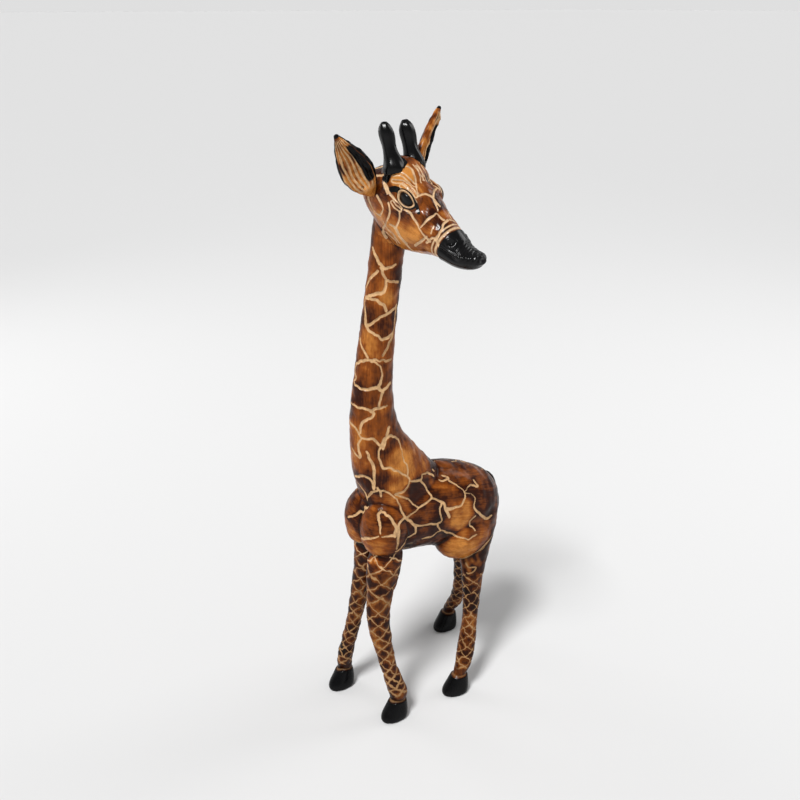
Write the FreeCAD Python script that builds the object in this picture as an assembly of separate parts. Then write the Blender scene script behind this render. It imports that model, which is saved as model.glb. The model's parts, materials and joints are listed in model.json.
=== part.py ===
"""Carved wooden giraffe statue, standing, with its head turned to its left.

Millimetres. +Z is up, the giraffe's body faces -Y and its left side is +X. The origin is on the ground, under the
centre of the statue's bounding box. The statue is blocked up from glued pieces: a trunk, a neck, a head, four legs, a
tail, two ears and two ossicones (horns), each located by a hardwood dowel in a socket. Every visible shape is a loft
through closed rings, and neighbours meet on a flat glue face.
"""

import FreeCAD
import Part

import math
import os

Vector = FreeCAD.Vector

# Driving dimensions. Until the last step everything is placed from a point on the ground under the neck's foot.
RING_POINTS = 16
GLUE_GAP = 0.1  # radial room round a dowel
SOCKET_SPARE = 1.0  # a socket is this much deeper than its dowel

# Glue faces: each is a plane through a point, with its normal to the side of the piece that is further from the trunk.
NECK_JOINT_POINT = Vector(0, 40, 414)
NECK_JOINT_NORMAL = Vector(0, -0.16, 1)
HEAD_JOINT_POINT = Vector(14, 30, 804)
HEAD_JOINT_NORMAL = Vector(0.614, 0.142, 0.78)
FRONT_LEG_JOINT_POINT = Vector(0, 0, 274)
FRONT_LEG_JOINT_NORMAL = Vector(0, 0, -1)
HIND_LEG_JOINT_POINT = Vector(0, 200, 262)
HIND_LEG_JOINT_NORMAL = Vector(0, 0.55, -1)

# Trunk rings, front to back: y, height of centre, half width, reach up, reach down.
TRUNK_RINGS = [
    (-14, 350, 18, 22, 25),
    (-2, 350, 38, 42, 48),
    (22, 350, 50, 62, 66),
    (65, 345, 56, 69, 72),
    (120, 335, 58, 76, 74),
    (170, 328, 60, 71, 84),
    (208, 322, 55, 60, 78),
    (236, 318, 38, 44, 55),
    (248, 316, 18, 24, 28),
]
# Breast: two ball-like lobes, left and right of the middle plane.
LOBE_CENTRE = Vector(23, 11, 336)
LOBE_RADII = (38, 39, 53)
# Flank: the low swelling in front of each hind leg.
FLANK_CENTRE = Vector(26, 168, 280)
FLANK_RADII = (38, 57, 49)

# Neck rings, foot to top: centre x, centre y, centre z, half width, reach forward, reach back, ring tilt in degrees.
NECK_RINGS = [
    (0, 34, 372, 50, 44, 92, 9),
    (0, 30, 405, 46, 46, 88, 9),
    (0, 22, 432, 44, 46, 74, 8),
    (0, 14, 465, 40, 42, 58, 6),
    (0, 8, 500, 35, 38, 42, 4),
    (0, 6, 540, 31, 34, 34, 2),
    (1, 8, 590, 28, 30, 30, 0),
    (3, 14, 650, 26, 27, 27, 0),
    (6, 21, 710, 25, 26, 26, 0),
    (9, 28, 770, 24, 25, 25, 0),
    (12, 33, 820, 24, 25, 25, 0),
    (16, 36, 850, 22, 23, 23, 0),
]

# Head frame: origin between the eyes, turned about Z from +X and pitched nose down.
HEAD_ORIGIN = Vector(69.5, 42.8, 850)
HEAD_YAW = 13.0
HEAD_PITCH = 28.0
# Head rings, back of skull to nose: distance forward, height of centre, half width, reach up, reach down.
HEAD_RINGS = [
    (-90, -16, 14, 12, 13),
    (-80, -16, 29, 25, 27),
    (-58, -16, 38, 40, 40),
    (-28, -15, 40, 46, 50),
    (0, -16, 38, 44, 54),
    (25, -18, 34, 37, 44),
    (48, -18, 29, 30, 30),
    (70, -17, 24, 24, 22),
    (90, -17, 21, 17, 18),
    (108, -16, 20, 13, 15),
    (121, -14, 14, 10, 11),
    (127, -13, 6, 5, 5),
]
BROW_CENTRE = (-9, 22, 13)  # forward, left, up in the head frame
BROW_RADII = (23, 12, 12)
CROWN_CENTRE = (-40, 0, 17)  # the crown that carries the ossicones
CROWN_RADII = (35, 31, 25)

# Ears: a cupped leaf on a short stalk. Positions and directions are in the head frame: the stalk's start inside the
# skull, where the leaf begins, how far the tip is from there, and which way the cup looks.
LEFT_EAR = {"stalk": (-50, 26, -8), "root": (-53, 40, 0), "reach": (-46, 57, 80), "face": (0.80, 0.48, 0.31)}
RIGHT_EAR = {"stalk": (-50, -26, -10), "root": (-58, -46, -8), "reach": (-43, -49, 61), "face": (0.59, -0.74, 0.31)}
EAR_HALF_WIDTH = 21
EAR_THICKNESS = 9
EAR_CUP_DEPTH = 8.8
# Leaf rings: share of the length, share of the half width, share of the thickness.
EAR_RINGS = [
    (0.00, 0.66, 0.80),
    (0.14, 0.98, 0.95),
    (0.32, 1.12, 1.00),
    (0.52, 1.00, 0.95),
    (0.72, 0.70, 0.80),
    (0.89, 0.36, 0.55),
    (1.00, 0.12, 0.28),
]

# Ossicones: in the head frame, for the left one.
OSSICONE_ROOT = (-43, 20, 22)
OSSICONE_REACH = (-49, 1, 49)
OSSICONE_ROOT_RADIUS = 14.5
OSSICONE_BULB_RADIUS = 10.4
OSSICONE_EMBED = 10

# Leg rings, top to pastern: centre x, y, z, half width across, half depth along Y.
LEFT_FORE_RINGS = [
    (27, 12, 322, 25, 30),
    (29, 8, 285, 25, 29),
    (31, 1, 250, 23, 27),
    (34, -7, 215, 19, 22),
    (39, -12, 178, 17, 19),
    (46, -10, 140, 16, 16),
    (54, -6, 105, 14, 14),
    (61, 0, 75, 14, 15),
    (66, 6, 50, 15, 16),
    (67, 7, 34, 12, 13),
]
RIGHT_FORE_RINGS = [
    (-24, 14, 322, 24, 28),
    (-25, 12, 285, 22, 25),
    (-27, 7, 250, 19, 20),
    (-30, 1, 215, 16, 17),
    (-33, -5, 178, 14, 15),
    (-37, -11, 140, 13, 13),
    (-42, -17, 105, 13, 13),
    (-47, -22, 75, 13, 13),
    (-51, -24, 50, 13, 13),
    (-53, -23, 34, 11, 11),
]
LEFT_HIND_RINGS = [
    (30, 194, 320, 26, 40),
    (32, 193, 285, 26, 38),
    (35, 189, 250, 23, 30),
    (40, 182, 215, 19, 23),
    (46, 176, 178, 15, 17),
    (53, 169, 140, 13, 14),
    (61, 159, 105, 14, 14),
    (69, 148, 75, 15, 15),
    (75, 137, 50, 14, 14),
    (76, 130, 34, 10, 10),
]
RIGHT_HIND_RINGS = [
    (-28, 200, 320, 26, 38),
    (-29, 206, 285, 25, 34),
    (-31, 211, 250, 23, 28),
    (-34, 216, 215, 19, 22),
    (-39, 222, 178, 15, 17),
    (-45, 226, 140, 13, 14),
    (-53, 229, 105, 12, 12),
    (-62, 232, 75, 13, 13),
    (-73, 229, 50, 13, 13),
    (-80, 226, 34, 10, 10),
]

# Ossicone rings: share of the length, share of the root radius, share of the bulb radius.
OSSICONE_RINGS = [
    (0.00, 1.00, 0.00),
    (0.25, 0.90, 0.00),
    (0.55, 0.00, 0.94),
    (0.75, 0.00, 1.00),
    (0.91, 0.00, 0.78),
    (1.00, 0.00, 0.34),
]

# Hoof: rings from pastern to sole, as distance forward, height, half width, reach to toe, reach to heel.
HOOF_RINGS = [
    (0, 36, 11, 11, 11),
    (1, 28, 13.5, 17, 14),
    (2, 16, 16.5, 25, 15),
    (3, 7, 17.5, 30, 15),
    (3, 0, 16, 28, 13),
]
HOOF_TURN = {"front_left": 8, "front_right": 12, "hind_left": 0, "hind_right": 8}

# Tail: centre y, centre z, half width, half depth, lying down the middle of the rump.
TAIL_RINGS = [
    (228, 364, 5, 4),
    (241, 354, 7, 6),
    (251, 337, 7, 6),
    (255, 315, 6, 5.5),
    (256, 292, 5.5, 5),
    (255, 274, 7.5, 6),
    (253, 256, 6, 5),
    (250, 242, 2.5, 2.5),
]

# Dowels: radius, length, middle and axis, with the middle on the joint.
DOWELS = {
    "dowel_neck": (10, 80, (0, 40, 414), (0, -0.16, 1), ("trunk", "neck")),
    "dowel_head": (7, 52, (11, 32, 806), (0.12, 0.11, 1), ("neck", "head")),
    "dowel_leg_front_left": (6, 44, (30, 6, 274), (0, 0, 1), ("trunk", "leg_front_left")),
    "dowel_leg_front_right": (6, 44, (-26, 11, 274), (0, 0, 1), ("trunk", "leg_front_right")),
    "dowel_leg_hind_left": (6, 44, (34, 189, 256), (-0.1, 0.1, 1), ("trunk", "leg_hind_left")),
    "dowel_leg_hind_right": (6, 44, (-30, 210, 267), (0.05, -0.2, 1), ("trunk", "leg_hind_right")),
}
EAR_PEG = (3, 20)
OSSICONE_PEG = (3.5, 24)
TAIL_PEG = (2, 15, (0, 243, 346), (0, 1, 0.3))


def ring(centre, right, forward, to_right, to_left, to_front, to_back):
    """A closed smooth ring round centre, whose reach differs on its four sides."""
    points = []
    for i in range(RING_POINTS):
        angle = 2 * math.pi * i / RING_POINTS
        across, along = math.cos(angle), math.sin(angle)
        reach_across = (to_right if across > 0 else to_left) * across
        reach_along = (to_front if along > 0 else to_back) * along
        points.append(centre + right * reach_across + forward * reach_along)
    curve = Part.BSplineCurve()
    curve.interpolate(points, PeriodicFlag=True)
    return Part.Wire([curve.toShape()])


def loft(rings):
    return Part.makeLoft(rings, True, False)


def ellipsoid(centre, radii, axes=(Vector(1, 0, 0), Vector(0, 1, 0), Vector(0, 0, 1))):
    """A solid ellipsoid with its radii along the given axes, and its poles on the first of them."""
    ball = Part.makeSphere(1)
    pole, a, b = (axis * radius for axis, radius in zip(axes, radii))
    matrix = FreeCAD.Matrix(
        a.x, b.x, pole.x, centre.x,
        a.y, b.y, pole.y, centre.y,
        a.z, b.z, pole.z, centre.z,
        0, 0, 0, 1,
    )
    return ball.transformGeometry(matrix)


def beyond(point, normal, size=1500):
    """A big block on the side of a plane that its normal points to."""
    block = Part.makeBox(size, size, size, Vector(-size / 2, -size / 2, 0))
    block.Placement = FreeCAD.Placement(point, FreeCAD.Rotation(Vector(0, 0, 1), normal))
    return block


def rod(centre, axis, radius, length):
    """A cylinder with its middle at centre."""
    unit = Vector(axis).normalize()
    return Part.makeCylinder(radius, length, centre - unit * (length / 2), unit)


class HeadFrame:
    """Turns forward, left, up in the head into the statue's coordinates."""

    def __init__(self, origin, yaw, pitch):
        turn, nod = math.radians(yaw), math.radians(pitch)
        level = Vector(math.cos(turn), math.sin(turn), 0)
        self.origin = origin
        self.forward = level * math.cos(nod) - Vector(0, 0, math.sin(nod))
        self.left = Vector(-math.sin(turn), math.cos(turn), 0)
        self.up = self.forward.cross(self.left)

    def direction(self, forward, left, up):
        return self.forward * forward + self.left * left + self.up * up

    def point(self, forward, left, up):
        return self.origin + self.direction(forward, left, up)


HEAD = HeadFrame(HEAD_ORIGIN, HEAD_YAW, HEAD_PITCH)


def trunk_form(stubs):
    """The trunk's barrel with the legs' stubs, the two breast lobes and the two flanks."""
    x, z = Vector(1, 0, 0), Vector(0, 0, 1)
    rings = [
        ring(Vector(0, y, height), x, z, half, half, up, down)
        for y, height, half, up, down in TRUNK_RINGS
    ]
    form = loft(rings)
    for stub in stubs:
        form = form.fuse(stub)
    for side in (1, -1):
        lobe = Vector(side * LOBE_CENTRE.x, LOBE_CENTRE.y, LOBE_CENTRE.z)
        flank = Vector(side * FLANK_CENTRE.x, FLANK_CENTRE.y, FLANK_CENTRE.z)
        form = form.fuse(ellipsoid(lobe, LOBE_RADII)).fuse(ellipsoid(flank, FLANK_RADII))
    return form


def neck_form():
    rings = []
    for x, y, z, half, to_front, to_back, tilt in NECK_RINGS:
        lean = math.radians(tilt)
        ahead = Vector(0, -math.cos(lean), -math.sin(lean))
        rings.append(ring(Vector(x, y, z), Vector(1, 0, 0), ahead, half, half, to_front, to_back))
    return loft(rings)


def head_form():
    rings = [
        ring(HEAD.point(s, 0, height), HEAD.left, HEAD.up, half, half, up, down)
        for s, height, half, up, down in HEAD_RINGS
    ]
    form = loft(rings)
    axes = (HEAD.forward, HEAD.left, HEAD.up)
    for side in (1, -1):
        s, left, up = BROW_CENTRE
        form = form.fuse(ellipsoid(HEAD.point(s, side * left, up), BROW_RADII, axes))
    return form.fuse(ellipsoid(HEAD.point(*CROWN_CENTRE), CROWN_RADII, axes))


def leg_form(rings, hoof_turn):
    """A leg with its hoof, from inside the trunk down to the flat sole."""
    leg = loft([
        ring(Vector(x, y, z), Vector(1, 0, 0), Vector(0, -1, 0), across, across, along, along)
        for x, y, z, across, along in rings
    ])
    turn = math.radians(hoof_turn)
    toe = Vector(math.sin(turn), -math.cos(turn), 0)
    side = Vector(math.cos(turn), math.sin(turn), 0)
    foot = Vector(rings[-1][0], rings[-1][1], 0)
    hoof = loft([
        ring(foot + toe * s + Vector(0, 0, z), side, toe, half, half, to_toe, to_heel)
        for s, z, half, to_toe, to_heel in HOOF_RINGS
    ])
    return leg.fuse(hoof)


def ear_form(ear):
    """A leaf-shaped ear with a scooped front, on a stalk that starts in the skull; also its root and its axis."""
    root = HEAD.point(*ear["root"])
    span = HEAD.direction(*ear["reach"])
    axis = Vector(span).normalize()
    face = HEAD.direction(*ear["face"])
    face = (face - axis * face.dot(axis)).normalize()
    across = axis.cross(face)
    stalk = HEAD.point(*ear["stalk"])
    rings = [ring(stalk, across, face, *[EAR_THICKNESS] * 4)]
    for share, width, thickness in EAR_RINGS:
        half, thick = EAR_HALF_WIDTH * width, EAR_THICKNESS * thickness
        rings.append(ring(root + span * share, across, face, half, half, thick, thick))
    middle = root + span * 0.46 + face * EAR_THICKNESS
    scoop = ellipsoid(middle, (EAR_HALF_WIDTH * 0.74, span.Length * 0.43, EAR_CUP_DEPTH), (across, axis, face))
    return loft(rings).cut(scoop), root, root - stalk


def ossicone_form(side):
    """A blunt horn that swells towards its tip; also its root and its axis."""
    forward, left, up = OSSICONE_ROOT
    root = HEAD.point(forward, side * left, up)
    forward, left, up = OSSICONE_REACH
    span = HEAD.direction(forward, side * left, up)
    ahead = span.cross(HEAD.left).normalize()
    right = ahead.cross(span).normalize()
    rings = []
    for share, of_root, of_bulb in OSSICONE_RINGS:
        radius = of_root * OSSICONE_ROOT_RADIUS + of_bulb * OSSICONE_BULB_RADIUS
        rings.append(ring(root + span * share, right, ahead, *[radius] * 4))
    return loft(rings), root, span


def tail_form():
    return loft([
        ring(Vector(0, y, z), Vector(1, 0, 0), Vector(0, 1, 0), half, half, depth, depth)
        for y, z, half, depth in TAIL_RINGS
    ])


def join(pieces, name, parts, peg):
    """Bore a blind socket for a dowel in the two parts that it joins, and add the dowel."""
    radius, length, middle, axis = peg
    bore = rod(Vector(*middle), axis, radius + GLUE_GAP, length + 2 * SOCKET_SPARE)
    for part in parts:
        pieces[part] = pieces[part].cut(bore)
    pieces[name] = rod(Vector(*middle), axis, radius, length)


def build():
    """All pieces, as a dict of node name to solid."""
    above_neck_joint = beyond(NECK_JOINT_POINT, NECK_JOINT_NORMAL)
    above_head_joint = beyond(HEAD_JOINT_POINT, HEAD_JOINT_NORMAL)
    below_front_joint = beyond(FRONT_LEG_JOINT_POINT, FRONT_LEG_JOINT_NORMAL)
    below_hind_joint = beyond(HIND_LEG_JOINT_POINT, HIND_LEG_JOINT_NORMAL)

    neck = neck_form()
    pieces = {}

    leg_plan = {
        "front_left": (LEFT_FORE_RINGS, below_front_joint),
        "front_right": (RIGHT_FORE_RINGS, below_front_joint),
        "hind_left": (LEFT_HIND_RINGS, below_hind_joint),
        "hind_right": (RIGHT_HIND_RINGS, below_hind_joint),
    }
    stubs = []
    for name, (rings, below) in leg_plan.items():
        form = leg_form(rings, HOOF_TURN[name])
        stubs.append(form.cut(below))
        pieces["leg_" + name] = form.common(below)
    trunk = trunk_form(stubs)
    trunk = trunk.fuse(neck.cut(above_neck_joint)).cut(above_neck_joint)
    for name in leg_plan:
        pieces["leg_" + name] = pieces["leg_" + name].cut(trunk)

    head = head_form().fuse(neck).common(above_head_joint)
    pieces["trunk"] = trunk
    pieces["neck"] = neck.common(above_neck_joint).cut(above_head_joint)
    pieces["head"] = head
    pieces["tail"] = tail_form().cut(trunk)
    join(pieces, "dowel_tail", ("trunk", "tail"), TAIL_PEG)

    for label, side, ear_plan in (("left", 1, LEFT_EAR), ("right", -1, RIGHT_EAR)):
        ear, root, axis = ear_form(ear_plan)
        pieces["ear_" + label] = ear.cut(head)
        join(pieces, "dowel_ear_" + label, ("head", "ear_" + label), (*EAR_PEG, root, axis))
        horn, root, axis = ossicone_form(side)
        middle = root + Vector(axis).normalize() * OSSICONE_EMBED
        pieces["ossicone_" + label] = horn.cut(head)
        join(pieces, "dowel_ossicone_" + label, ("head", "ossicone_" + label), (*OSSICONE_PEG, middle, axis))
    for name, (radius, length, middle, axis, parts) in DOWELS.items():
        join(pieces, name, parts, (radius, length, middle, axis))
    return pieces


def main():
    os.makedirs("parts", exist_ok=True)
    pieces = build()
    box = FreeCAD.BoundBox()
    for solid in pieces.values():
        box.add(solid.optimalBoundingBox(False, False))
    to_origin = Vector(-(box.XMin + box.XMax) / 2, -(box.YMin + box.YMax) / 2, -box.ZMin)
    print("moved by", to_origin, "overall", box.XLength, box.YLength, box.ZLength)
    for name, solid in pieces.items():
        solid.translate(to_origin)
        print(name, len(solid.Solids), round(solid.Volume / 1000, 1), "cm3", solid.isValid())
        solid.exportStep(os.path.join("parts", name + ".step"))


main()
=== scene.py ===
"""Looks for the carved wooden giraffe: lines cut in scorched, varnished wood, and gloss black paint.

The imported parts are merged, remeshed finely and smoothed into one carved body. The lines between patches,
the face and the hooves are cut into that surface, and it is then split again into one piece for each part.
Lengths inside the carving functions are millimetres in the part's own frame: +Z up, body facing -Y, left
side +X.
"""
import json
import math

import bmesh
import bpy
import numpy as np
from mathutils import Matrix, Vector
from mathutils.bvhtree import BVHTree

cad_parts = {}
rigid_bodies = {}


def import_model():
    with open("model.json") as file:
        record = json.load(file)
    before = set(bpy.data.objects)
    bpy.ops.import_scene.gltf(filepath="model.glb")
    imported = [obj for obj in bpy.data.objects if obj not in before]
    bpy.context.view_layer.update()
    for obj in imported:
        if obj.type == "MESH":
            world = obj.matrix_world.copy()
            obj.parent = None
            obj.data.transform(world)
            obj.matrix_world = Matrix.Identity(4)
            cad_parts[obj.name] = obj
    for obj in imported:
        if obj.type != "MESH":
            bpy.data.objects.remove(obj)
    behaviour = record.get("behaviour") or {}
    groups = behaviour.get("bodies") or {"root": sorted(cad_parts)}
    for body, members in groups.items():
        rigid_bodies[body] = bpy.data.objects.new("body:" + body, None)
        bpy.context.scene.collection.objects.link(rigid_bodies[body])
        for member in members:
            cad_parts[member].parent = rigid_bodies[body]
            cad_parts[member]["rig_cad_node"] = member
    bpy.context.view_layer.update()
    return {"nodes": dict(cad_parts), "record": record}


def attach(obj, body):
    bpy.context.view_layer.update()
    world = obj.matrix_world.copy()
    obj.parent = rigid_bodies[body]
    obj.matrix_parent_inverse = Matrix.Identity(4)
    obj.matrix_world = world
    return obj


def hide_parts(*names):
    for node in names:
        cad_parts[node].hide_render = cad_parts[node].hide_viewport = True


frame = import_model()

# Driving dimensions, millimetres.
BODY_VOXEL = 1.2
HEAD_VOXEL = 0.9
EAR_VOXEL = 0.7
GROOVE_HALF_WIDTH = 1.75
GROOVE_DEPTH = 1.3
LEG_GROOVE_HALF_WIDTH = 1.0
LEG_GROOVE_DEPTH = 0.8
NO_LINE = 14.0  # a distance at which a line has no more effect
AROUND = 4  # diamonds round a leg
LOWEST_PITCH = 15.0  # height of a diamond at the foot
HOOF_TOP = 31
MIDDLE_X = -39.2  # the middle plane of trunk and neck
NECK_FOOT = (MIDDLE_X, -97.4)
FRONT_LEG_TOP = 274  # height of the front legs' joints
FORE_Y, HIND_Y = -45, -20  # front legs lie before the first, hind legs behind the second
HEAD_JOINT = np.array([-25.2, -67.4, 804])
HEAD_JOINT_NORMAL = np.array([0.614, 0.142, 0.78])
NEAR_SIDE = np.array([0.819, -0.574, 0.0])  # the way the listed lines face: left and a little forward
NEAR_LIMIT = -0.12  # they reach round the body until the skin turns this far away
SPREAD = 0.618  # steps of this size fill 0 to 1 evenly

# The studio. The backdrop fades upwards; the camera's places are metres from the neck's foot.
HORIZON_LIGHT, SKY_LIGHT, SKY_HEIGHT = 0.74, 0.26, 0.55
CAMERA_TURN, CAMERA_PITCH = math.radians(55), math.radians(22.72)
CAMERA_ASIDE, CAMERA_AWAY, CAMERA_HEIGHT = 0.047, 1.315, 1.1
SENSOR, LENS = 36, 42.59

# The head's own frame: origin between the eyes, forward to the nose, left, up.
HEAD_ORIGIN = np.array([30.3, -54.6, 850.0])
HEAD_YAW, HEAD_PITCH = math.radians(13), math.radians(28)
_level = np.array([math.cos(HEAD_YAW), math.sin(HEAD_YAW), 0])
FORWARD = _level * math.cos(HEAD_PITCH) - np.array([0, 0, math.sin(HEAD_PITCH)])
LEFT = np.array([-math.sin(HEAD_YAW), math.cos(HEAD_YAW), 0])
UP = np.cross(FORWARD, LEFT)

# Patches on the neck: height, angle round the axis in degrees (0 is the left side, -90 the front), and
# tone from dark (0) to golden (1).
NECK_PATCHES = [
    (800, -64, 0.4), (776, -34, 0.3), (751, -75, 0.3), (746, -12, 0.2), (738, -52, 0.8), (722, -5, 0.7),
    (695, -53, 0.5), (690, -98, 0.3), (669, -30, 0.4), (674, 24, 0.4), (646, -48, 0.7), (626, -84, 0.5),
    (630, 1, 0.5), (600, -46, 0.5), (597, 5, 0.7), (590, -96, 0.1), (565, -50, 0.4), (559, 5, 0.6),
    (533, -63, 0.15), (522, -8, 0.25), (494, -82, 0.6), (481, -30, 0.35), (455, -85, 0.7), (455, 14, 0.85),
    (488, 50, 0.3), (437, 61, 0.6), (431, -45, 0.3), (412, -78, 0.05), (415, -1, 0.75),
    (780, 40, 0.4), (730, 60, 0.3), (640, 50, 0.4), (590, 62, 0.3), (540, 55, 0.3),
    (765, 100, 0.4), (690, 90, 0.3), (615, 100, 0.4), (545, 98, 0.3), (490, 92, 0.3), (820, 10, 0.4),
]
# Patches on the trunk: x, y, z, tone. The other side carries a mirrored, loosened copy of both lists.
TRUNK_PATCHES = [
    (7, -38, 390, 0.1), (-25, 31, 408, 0.25), (-7, 76, 387, 0.4), (7, 20, 381, 0.5), (14, 90, 352, 0.3),
    (19, 36, 330, 0.85), (20, 80, 300, 0.55), (16, -17, 355, 0.3), (14, -25, 318, 0.15), (17, 36, 278, 0.9),
    (7, 10, 293, 0.1), (19, -74, 338, 0.3), (14, 112, 322, 0.1), (-9, -120, 356, 0.3), (13, -100, 362, 0.45),
    (7, -77, 380, 0.8), (-26, -104, 386, 0.4), (3, -118, 318, 0.8), (20, -94, 324, 0.5), (-20, 122, 370, 0.2),
    (-38, 60, 262, 0.3), (-38, 0, 268, 0.3), (-38, 130, 330, 0.2), (-8, 126, 292, 0.2), (-30, 96, 250, 0.3),
    (-36, -108, 350, 0.2),
]

# Lines carved on the near side. On the neck: height and angle round the axis, as for the patches.
NECK_LINES = [
    [(815, -85), (805, -55), (800, -30)],
    [(785, -95), (762, -50), (757, -27), (760, 0)],
    [(753, -58), (742, -90), (727, -110)],
    [(758, -50), (739, -27), (725, -30), (720, -57), (714, -105)],
    [(739, -27), (732, 25)],
    [(713, -105), (713, -60), (704, -26), (695, -15)],
    [(672, -75), (685, -35), (697, 30)],
    [(713, -105), (689, -90), (672, -75), (661, -40), (652, -10), (659, 30)],
    [(697, 30), (674, 30), (659, 30), (640, 8), (626, -9)],
    [(652, -105), (626, -58)],
    [(611, -110), (620, -77), (624, -44), (620, -13), (616, 29)],
    [(622, -44), (611, -12), (592, -7), (580, -16)],
    [(611, -103), (600, -108), (592, -92), (584, -105), (577, -56), (579, -20), (574, -2), (580, 28)],
    [(574, -2), (552, -14)],
    [(550, -103), (548, -69), (545, -39), (538, -29), (523, -60), (507, -66)],
    [(545, -39), (548, 15)],
    [(519, -112), (513, -79), (499, -64), (499, -37), (492, -25), (482, -15)],
    [(499, -64), (485, -75), (465, -72), (475, -100)],
    [(482, -15), (515, 12)],
]
# The crease under the left breast lobe, cut in as a fold and darkened there with painted shade; the right
# side mirrors it.
BREAST_CREASE = [
    (-30, -104, 285), (-14, -112, 293), (3, -111, 299), (12, -98, 301), (14, -75, 299), (5, -54, 296),
]
# On the chest: x and height. On the near flank and thigh: y and height. They are laid on the skin from
# these planes.
CHEST_Y, FLANK_X = -118, 15
CHEST_LINES = [
    [(-47, 425), (-20, 434), (-6, 424), (-4, 411)],
    [(7, 413), (15, 402), (8, 384), (14, 369), (16, 348)],
    [(-47, 416), (-36, 406), (-28, 388), (-42, 361), (-62, 345)],
    [(-28, 388), (-8, 404), (7, 408)],
    [(-33, 321), (-6, 335), (12, 342)],
    [(-15, 478), (-8, 465), (0, 451), (0, 438), (0, 414)],
]
FLANK_LINES = [
    [(-118, 408), (-100, 406), (-90, 401), (-81, 394)],
    [(-112, 342), (-92, 341)],
    [(-102, 451), (-83, 447), (-56, 428), (-52, 418), (-60, 407), (-83, 402)],
    [(-104, 452), (-112, 470), (-110, 482), (-95, 499)],
    [(-95, 499), (-78, 502), (-58, 491), (-58, 463), (-52, 444), (-54, 424)],
    [(-52, 418), (-25, 413), (-18, 421), (2, 421), (17, 411), (32, 414), (22, 428)],
    [(-25, 413), (-14, 390), (-14, 380), (-41, 370), (-64, 360)],
    [(-14, 380), (5, 367), (11, 351), (17, 337)],
    [(11, 353), (40, 350), (52, 372), (32, 401), (32, 414)],
    [(52, 372), (71, 380), (86, 373), (84, 392)],
    [(52, 370), (71, 356), (69, 336), (94, 310), (107, 311)],
    [(69, 322), (59, 314), (69, 294)],
    [(5, 367), (-2, 351), (2, 333), (-14, 335), (-45, 341), (-68, 362)],
    [(-6, 332), (3, 316), (32, 296), (55, 285), (71, 287)],
    [(3, 316), (-14, 306), (-29, 305)],
    [(-81, 394), (-72, 374), (-66, 362), (-48, 340), (-48, 325)],
    [(-66, 362), (-83, 354), (-87, 317)],
    [(-112, 394), (-102, 382), (-89, 356), (-91, 339)],
    [(-83, 402), (-60, 392), (-41, 370)],
    [(-48, 325), (-68, 315), (-87, 312)],
]
THIGH_LINES = [
    [(107, 311), (98, 290), (82, 269), (94, 259), (86, 250), (71, 249), (57, 243), (52, 231)],
    [(32, 258), (42, 238), (59, 221), (78, 220), (71, 210), (55, 210)],
]


def head_point(f, l, u):
    return HEAD_ORIGIN + FORWARD * f + LEFT * l + UP * u


# Lines of the face in the head frame (forward, left, up), for the right side; the left side mirrors them.
FACE_LINES = [
    [(-44, -35, 31), (-42, -30, 37), (-40, -23, 40), (-36, -15, 39), (-27, -11, 38), (-19, -12, 34),
     (-12, -13, 28), (6, -24, 22)],
    [(34, -30, -7), (35, -25, 3), (36, -17, 10), (36, -11, 13), (48, -8, 11)],
    [(51, -2, 11), (53, -12, 8), (57, -18, 3), (61, -25, -10)],
    [(2, -35, -1), (12, -33, -1), (23, -32, -5), (34, -31, -10), (46, -29, -15), (55, -27, -17)],
    [(-2, -37, -6), (3, -38, -17), (3, -36, -28)],
    [(-1, -37, -30), (9, -34, -36), (19, -30, -42), (25, -26, -46)],
    [(36, -27, -38), (42, -29, -26), (47, -29, -14)],
    [(51, -28, -21), (56, -26, -10), (65, -25, -13), (72, -25, -18)],
    [(-49, -31, 10), (-41, -34, 8), (-31, -36, 4), (-20, -37, 2), (-8, -36, 1), (-1, -36, -2)],
    [(-21, -35, -38), (-11, -34, -41), (1, -32, -44), (10, -26, -52)],
    [(-23, -39, -8), (-16, -39, -14), (-13, -39, -25), (-15, -36, -37)],
    [(-44, -39, -11), (-33, -40, -15), (-26, -40, -21), (-29, -37, -33)],
    [(-7, -37, -31), (4, -36, -30), (13, -33, -37), (23, -29, -42)],
    [(-51, -35, 22), (-47, -33, 9), (-32, -37, 2)],
]
# Lines on the back of the skull and under the jaw.
SKULL_LINES = [
    [(-51, -35, 22), (-60, -30, 12), (-70, -26, 0), (-80, -14, -9), (-86, 0, -6)],
    [(-29, -37, -33), (-40, -38, -36), (-52, -36, -30), (-62, -34, -16), (-70, -26, 0)],
    [(-62, -34, -16), (-74, -26, -24), (-82, -12, -26), (-86, 0, -30)],
    [(-80, -14, -9), (-76, -12, 10), (-66, -14, 22), (-58, -6, 30)],
    [(1, -32, -44), (6, -18, -62), (10, 0, -66)],
    [(25, -26, -46), (32, -12, -54), (36, 0, -56)],
    [(-15, -36, -37), (-24, -26, -58), (-22, -10, -68)],
]
# Lines across the forehead, carved once.
MIDDLE_LINES = [
    [(6, -24, 22), (6, -14, 23), (10, -8, 23), (16, -3, 22), (29, 0, 18)],
    [(1, 20, 24), (7, 7, 25), (15, -2, 23), (25, -4, 19), (34, -8, 15)],
]
# Fine strokes on the forehead and the bridge of the nose.
FACE_STROKES = [
    [(-34, -4, 41), (-21, -3, 38), (-11, 1, 31)],
    [(-31, 1, 41), (-19, 3, 37), (-9, 6, 30)],
    [(46, -22, 2), (50, -26, -7)],
]
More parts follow.
